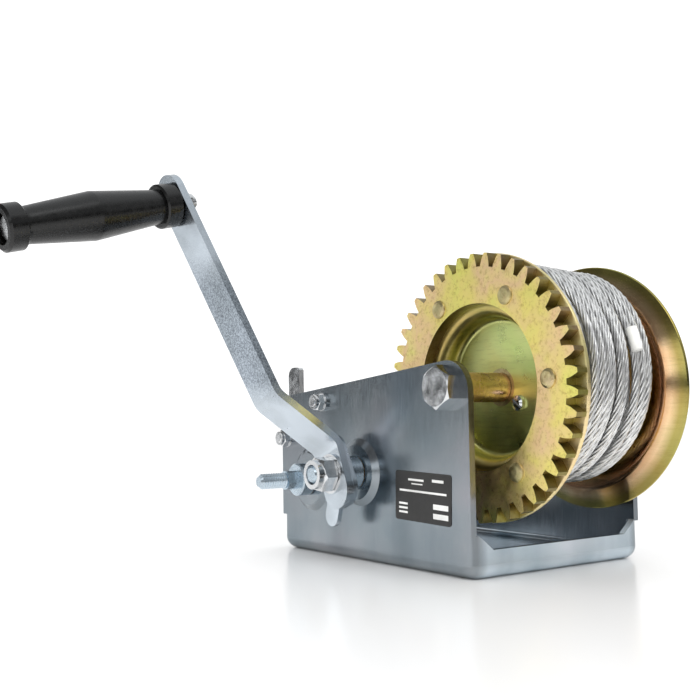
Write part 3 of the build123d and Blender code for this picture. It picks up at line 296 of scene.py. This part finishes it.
# Painted shade on the gear's cut edges, at 0.30 of its face's tone.
GEAR_ZINC = yellow_zinc(
    "gear_yellow_zinc",
    [(0.30, (0.90, 0.90, 0.22)), (0.45, (0.97, 0.82, 0.26)), (0.58, (0.98, 0.70, 0.38)),
     (0.72, (0.95, 0.86, 0.28))],
    0.30, 0.48, edges=0.30)
BARREL_ZINC = yellow_zinc(
    "barrel_yellow_zinc",
    [(0.35, (0.60, 0.50, 0.24)), (0.55, (0.72, 0.60, 0.32)), (0.75, (0.70, 0.48, 0.32))])
RIVET_ZINC = yellow_zinc(
    "rivet_yellow_zinc",
    [(0.35, (0.46, 0.42, 0.20)), (0.55, (0.60, 0.50, 0.26)), (0.75, (0.66, 0.50, 0.32))],
    0.26, 0.42, pits=0.3, cloud_scale=90)
SPACER_ZINC = yellow_zinc(
    "spacer_yellow_zinc",
    [(0.35, (0.86, 0.52, 0.30)), (0.55, (0.90, 0.60, 0.38)), (0.75, (0.84, 0.62, 0.50))],
    0.2, 0.34, pits=0.08)
NEAR_FLANGE_ZINC = ringed_zinc(
    "near_flange_zinc",
    [(0.10, (0.84, 0.86, 0.30)), (0.30, (0.86, 0.92, 0.36)), (0.44, (0.80, 0.86, 0.34)),
     (0.56, (0.60, 0.46, 0.16)), (0.66, (0.88, 0.80, 0.34)), (0.92, (0.90, 0.72, 0.40))],
    0.24, 0.42)
# Painted shade in the far flange's dark rings, and a painted highlight in its bright ring at 0.83, along the
# bend.
FAR_FLANGE_PAINTED_LIGHT_ZINC = ringed_zinc(
    "far_flange_painted_light_zinc",
    [(0.20, (0.40, 0.32, 0.10)), (0.66, (0.46, 0.32, 0.10)), (0.76, (0.66, 0.34, 0.18)),
     (0.83, (0.86, 0.62, 0.36)), (0.89, (0.46, 0.38, 0.12)), (0.97, (0.40, 0.38, 0.11))],
    0.10, 0.20)
BUSH_BRONZE = bright_zinc("bushing_bronze", (0.66, 0.46, 0.26), 0.36)
GRIP_PLASTIC = moulded_plastic("grip_plastic", (0.003, 0.003, 0.003), 0.24, 0.08)
SLEEVE_PLASTIC = moulded_plastic("rope_sleeve", (0.82, 0.82, 0.79), 0.45, 0.05)
LABEL_VINYL = moulded_plastic("label_vinyl", (0.016, 0.015, 0.014), 0.34, 0.02)
LABEL_PRINT = moulded_plastic("label_print", (0.80, 0.80, 0.78), 0.45, 0.02)
WIRE_STEEL = wire_steel("wire_rope")

FINISHES = {
    "frame": FRAME_ZINC,
    "crank_arm": CRANK_ZINC,
    "crank_lock_plate": CRANK_ZINC,
    "input_shaft_bushings": BUSH_BRONZE,
    "low_shaft_bushings": BUSH_BRONZE,
    "label_plate": LABEL_VINYL,
    "axle_spacers": SPACER_ZINC,
    "drum_barrel": BARREL_ZINC,
    "drum_hub_tube": BARREL_ZINC,
    "drum_near_flange": NEAR_FLANGE_ZINC,
    "drum_far_flange": FAR_FLANGE_PAINTED_LIGHT_ZINC,
    "main_gear": GEAR_ZINC,
    "drum_rivets": RIVET_ZINC,
    "rope_end_sleeve": SLEEVE_PLASTIC,
    "rope_winding": WIRE_STEEL,
    "crank_grip": GRIP_PLASTIC,
    "pawl_spring": SPRING_STEEL,
    "input_shaft_circlip": SPRING_STEEL,
    "low_shaft_circlip": SPRING_STEEL,
}
SHAFT_PARTS = ("input_shaft", "low_shaft", "drive_pinion", "reduction_gear", "low_pinion", "ratchet_wheel",
               "input_shaft_spacers", "low_shaft_spacers", "crank_spacer", "low_shaft_collar", "pawl_sleeve",
               "anchor_sleeve", "pawl_spring_pin")


def paint_nodes():
    for name, piece in nodes.items():
        finish = FINISHES.get(name, SHAFT_ZINC if name in SHAFT_PARTS else BOLT_ZINC)
        for slot in piece.material_slots:
            slot.material = finish


# ---------------------------------------------------------------- mesh helpers
def new_piece(name, vertices, faces, finish, smooth=True):
    mesh = bpy.data.meshes.new(name)
    mesh.from_pydata(vertices, [], faces)
    mesh.materials.append(finish)
    for polygon in mesh.polygons:
        polygon.use_smooth = smooth
    piece = bpy.data.objects.new(name, mesh)
    bpy.context.scene.collection.objects.link(piece)
    return piece


def tube_mesh(points, radius, sides):
    """Rings round a line of points, closed at both ends, with no twist between rings."""
    vertices = []
    faces = []
    normal = None
    for i, point in enumerate(points):
        ahead = (points[min(i + 1, len(points) - 1)] - points[max(i - 1, 0)]).normalized()
        if normal is None:
            normal = ahead.orthogonal().normalized()
        normal = (normal - ahead * normal.dot(ahead)).normalized()
        side = ahead.cross(normal)
        for k in range(sides):
            turn = 2 * math.pi * k / sides
            vertices.append(point + (normal * math.cos(turn) + side * math.sin(turn)) * radius)
        if i:
            for k in range(sides):
                a = (i - 1) * sides
                b = i * sides
                faces.append((a + k, a + (k + 1) % sides, b + (k + 1) % sides, b + k))
    last = len(vertices) - sides
    faces.append(tuple(reversed(range(sides))))
    faces.append(tuple(range(last, last + sides)))
    return vertices, faces


# ---------------------------------------------------------------- the wound rope
# Each layer: its turns, where it starts and ends along the axle (0 near flange, 1 far end), its
# radius at both ends, how far its circle is lifted off the axle's centre, and how loose it lies.
LAYERS = (
    (13, 0.0, 1.0, 0.0486, 0.0486, 0.0000, 0.0000),
    (5, 1.0, 0.0, 0.0545, 0.0590, 0.0030, 0.0010),
    (10.45, 0.0, 0.98, 0.0664, 0.0630, 0.0068, 0.0016),
)


def winding_points():
    """Control points of the rope's centreline, layer after layer."""
    rng = random.Random(4)
    points = []
    turn = 0.0
    for turns, x0, x1, r0, r1, lift, loose in LAYERS:
        steps = int(turns * TURN_POINTS)
        wander = [rng.uniform(-1, 1) for _ in range(int(turns) + 3)]
        for i in range(steps):
            share = i / steps
            whole = share * turns
            k = int(whole)
            drift = wander[k] + (wander[k + 1] - wander[k]) * (whole - k)
            swing = math.sin(whole * 2 * math.pi + drift * 2)
            radius = r0 + (r1 - r0) * share - abs(drift) * loose * 0.4
            x = ROPE_FIRST_X + (ROPE_LAST_X - ROPE_FIRST_X) * (x0 + (x1 - x0) * share)
            x += (drift + swing * 0.8) * loose
            x = min(max(x, ROPE_FIRST_X), ROPE_LAST_X)
            angle = math.radians(ROPE_START_ANGLE) - turn - whole * 2 * math.pi
            y = AXLE_Y + radius * math.cos(angle)
            z = AXLE_Z + lift + radius * math.sin(angle)
            points.append(Vector((x, y, z)))
        turn += turns * 2 * math.pi
    return points


def smooth_line(name, controls):
    """The route as a NURBS spline through its control points, read back as close points."""
    curve = bpy.data.curves.new(name, "CURVE")
    curve.dimensions = "3D"
    spline = curve.splines.new("NURBS")
    spline.points.add(len(controls) - 1)
    for point, place in zip(spline.points, controls):
        point.co = (*place, 1)
    spline.order_u = 3
    spline.use_endpoint_u = True
    spline.resolution_u = 6
    route = bpy.data.objects.new(name, curve)
    bpy.context.scene.collection.objects.link(route)
    bpy.context.view_layer.update()
    mesh = bpy.data.meshes.new_from_object(route.evaluated_get(bpy.context.evaluated_depsgraph_get()))
    line = [v.co.copy() for v in mesh.vertices]
    bpy.data.objects.remove(route)
    return line


def rope_strands(line):
    """Six strands twisted round a core, along the whole rope."""
    strand_radius = ROPE_DIAMETER / 6
    reach = ROPE_DIAMETER / 2 - strand_radius
    travelled = [0.0]
    for a, b in zip(line, line[1:]):
        travelled.append(travelled[-1] + (b - a).length)
    vertices = []
    faces = []
    for strand in range(ROPE_STRANDS):
        path = []
        for i, point in enumerate(line):
            ahead = (line[min(i + 1, len(line) - 1)] - line[max(i - 1, 0)]).normalized()
            outward = Vector((0, point.y - AXLE_Y, point.z - AXLE_Z)).normalized()
            outward = (outward - ahead * outward.dot(ahead)).normalized()
            side = ahead.cross(outward)
            turn = 2 * math.pi * (travelled[i] / STRAND_LAY + strand / ROPE_STRANDS)
            path.append(point + (outward * math.cos(turn) + side * math.sin(turn)) * reach)
        more, loops = tube_mesh(path, strand_radius, 6)
        base = len(vertices)
        vertices += more
        faces += [tuple(base + k for k in loop) for loop in loops]
    return vertices, faces, travelled[-1]


def wind_rope():
    line = smooth_line("rope_route", winding_points())
    vertices, faces, length = rope_strands(line)
    rope = new_piece("wire_rope", vertices, faces, WIRE_STEEL)
    core = new_piece("wire_rope_core", *tube_mesh(line, ROPE_DIAMETER / 5, 6), WIRE_STEEL)
    for piece in (rope, core):
        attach(piece, "drum")
    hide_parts("rope_winding")
    print("rope length, m:", round(length, 3))


# ---------------------------------------------------------------- the pawl's spring
def stretch_spring():
    """The spring as its own piece, a copy of the part's mesh in its place."""
    spring = bpy.data.objects.new("pawl_spring_coil", nodes["pawl_spring"].data.copy())
    bpy.context.scene.collection.objects.link(spring)
    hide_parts("pawl_spring")
    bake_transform(spring)


# ---------------------------------------------------------------- label print
def label_frame():
    """The label's corner, and its own right and up directions on the near plate."""
    low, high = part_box("label_plate")
    centre = (low + high) / 2
    tilt = math.radians(LABEL_TILT)
    right = Vector((0, -math.cos(tilt), -math.sin(tilt)))
    up = Vector((0, -math.sin(tilt), math.cos(tilt)))
    return Vector((low.x, centre.y, centre.z)), right, up


# Each bar: its middle across and up from the label's centre, its length and its height.
PRINT_BARS = (
    (-0.0060, 0.0095, 0.014, 0.0012),
    (0.0135, 0.0100, 0.010, 0.0016),
    (-0.0050, 0.0072, 0.010, 0.0007),
    (0.0, 0.0030, 0.042, 0.0012),
    (0.0160, -0.0045, 0.013, 0.0030),
    (0.0160, -0.0098, 0.013, 0.0030),
    (-0.0175, -0.0072, 0.008, 0.0012),
    (-0.0175, -0.0047, 0.008, 0.0012),
    (-0.0175, -0.0097, 0.008, 0.0012),
)
PRINT_THICKNESS = 0.00006


def print_bars():
    """Plain bars where a real label carries its print."""
    centre, right, up = label_frame()
    vertices = []
    faces = []
    lift = Vector((-PRINT_THICKNESS, 0, 0))
    for across, height, length, thick in PRINT_BARS:
        middle = centre + right * across + up * height
        corners = [middle + right * (sx * length / 2) + up * (sz * thick / 2)
                   for sx, sz in ((-1, -1), (1, -1), (1, 1), (-1, 1))]
        base = len(vertices)
        vertices += [corner + lift for corner in corners] + corners
        faces.append((base, base + 1, base + 2, base + 3))
        faces.append((base + 7, base + 6, base + 5, base + 4))
        for k in range(4):
            n = (k + 1) % 4
            faces.append((base + k, base + 4 + k, base + 4 + n, base + n))
    bars = new_piece("label_print", vertices, faces, LABEL_PRINT, smooth=False)
    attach(bars, "base")


# ---------------------------------------------------------------- studio
# What the plating reflects, as (sine of elevation, grey): the open room, and the side toward
# -X and +Y, where a dark flag stands under a long bright strip.
ROOM = ((0.0, 0.03), (0.12, 0.06), (0.35, 0.40), (0.55, 0.22), (0.80, 0.85))
FLAG_SIDE = ((0.0, 0.03), (0.06, 0.06), (0.11, 1.4), (0.30, 1.4), (0.38, 0.16), (0.70, 0.10), (0.90, 0.5))
TOWARD_FLAG = (-0.87, 0.50, 0.0)
TOWARD_BACKDROP = (0.58, 0.81, 0.0)
WHITE = (1, 1, 1, 1)
ROOM_LIGHT = (1.26, 1.26, 1.26, 1)
FLOOR_HALF = 6.0
SUBJECT = (0, 0, 0.1)


def pale_floor():
    corners = [(x * FLOOR_HALF, y * FLOOR_HALF, 0) for x, y in ((-1, -1), (1, -1), (1, 1), (-1, 1))]
    white = Finish("floor_white", (0.93, 0.93, 0.93), 0.0, 0.22).material
    new_piece("floor", corners, [(0, 1, 2, 3)], white, smooth=False)


def soft_light(name, place, width, height, power):
    data = bpy.data.lights.new(name, "AREA")
    data.shape = "RECTANGLE"
    data.size = width
    data.size_y = height
    data.energy = power
    light = bpy.data.objects.new(name, data)
    light.location = place
    light.rotation_euler = (Vector(SUBJECT) - Vector(place)).to_track_quat("-Z", "Y").to_euler()
    bpy.context.scene.collection.objects.link(light)


def facing(tree, way, toward, start, end):
    """How far a direction of the surroundings turns toward a heading, from 0 to 1."""
    dot = tree.nodes.new("ShaderNodeVectorMath")
    dot.operation = "DOT_PRODUCT"
    tree.links.new(way, dot.inputs[0])
    dot.inputs[1].default_value = toward
    span = tree.nodes.new("ShaderNodeMapRange")
    span.inputs["From Min"].default_value = start
    span.inputs["From Max"].default_value = end
    tree.links.new(dot.outputs["Value"], span.inputs["Value"])
    return span.outputs["Result"]


def by_height(tree, height, stops):
    """A grey that changes with the height of a direction, as (sine of elevation, grey) stops."""
    ramp = tree.nodes.new("ShaderNodeValToRGB")
    while len(ramp.color_ramp.elements) < len(stops):
        ramp.color_ramp.elements.new(0.5)
    for element, (at, grey) in zip(ramp.color_ramp.elements, stops):
        element.position = at
        element.color = (grey * 0.97, grey, grey * 1.02, 1)
    tree.links.new(height, ramp.inputs["Fac"])
    return ramp.outputs["Color"]


def mixed(tree, fac, first, second):
    node = tree.nodes.new("ShaderNodeMix")
    node.data_type = "RGBA"
    tree.links.new(fac, node.inputs["Factor"])
    tree.links.new(first, node.inputs["A"])
    if isinstance(second, tuple):
        node.inputs["B"].default_value = second
    else:
        tree.links.new(second, node.inputs["B"])
    return node.outputs["Result"]


def studio_world():
    """A white room for the eye and for soft light, and a studio with dark flags in reflections."""
    world = bpy.data.worlds.new("studio")
    world.use_nodes = True
    bpy.context.scene.world = world
    tree = world.node_tree
    way = tree.nodes.new("ShaderNodeTexCoord").outputs["Generated"]
    split = tree.nodes.new("ShaderNodeSeparateXYZ")
    tree.links.new(way, split.inputs["Vector"])
    height = split.outputs["Z"]
    room = by_height(tree, height, ROOM)
    flagged = by_height(tree, height, FLAG_SIDE)
    room = mixed(tree, facing(tree, way, TOWARD_FLAG, 0.35, 0.62), room, flagged)
    room = mixed(tree, facing(tree, way, TOWARD_BACKDROP, 0.55, 0.85), room, WHITE)
    path = tree.nodes.new("ShaderNodeLightPath")
    seen = tree.nodes.new("ShaderNodeRGB")
    seen.outputs[0].default_value = ROOM_LIGHT
    whole = mixed(tree, path.outputs["Is Glossy Ray"], seen.outputs[0], room)
    tree.links.new(whole, tree.nodes["Background"].inputs["Color"])


CAMERA_PLACE = (-0.4526, -0.5230, 0.0942)
CAMERA_RIGHT = Vector((0.81415, -0.58046, -0.01495))
CAMERA_UP = Vector((-0.02058, -0.05458, 0.99830))
CAMERA_AHEAD = Vector((0.58029, 0.81245, 0.05638))


def photo_camera():
    data = bpy.data.cameras.new("camera")
    data.sensor_width = 36.0
    data.lens = 53.78
    data.clip_end = 30
    camera = bpy.data.objects.new("camera", data)
    turn = Matrix((CAMERA_RIGHT, CAMERA_UP, -CAMERA_AHEAD)).transposed().to_4x4()
    camera.matrix_world = Matrix.Translation(CAMERA_PLACE) @ turn
    bpy.context.scene.collection.objects.link(camera)
    bpy.context.scene.camera = camera


paint_nodes()
wind_rope()
stretch_spring()
print_bars()
pale_floor()
studio_world()
soft_light("key", (-0.6, -1.3, 1.7), 1.6, 1.2, 8)
soft_light("side", (1.6, -0.5, 1.0), 1.2, 1.2, 3)
photo_camera()
bpy.context.scene.view_settings.view_transform = "Standard"
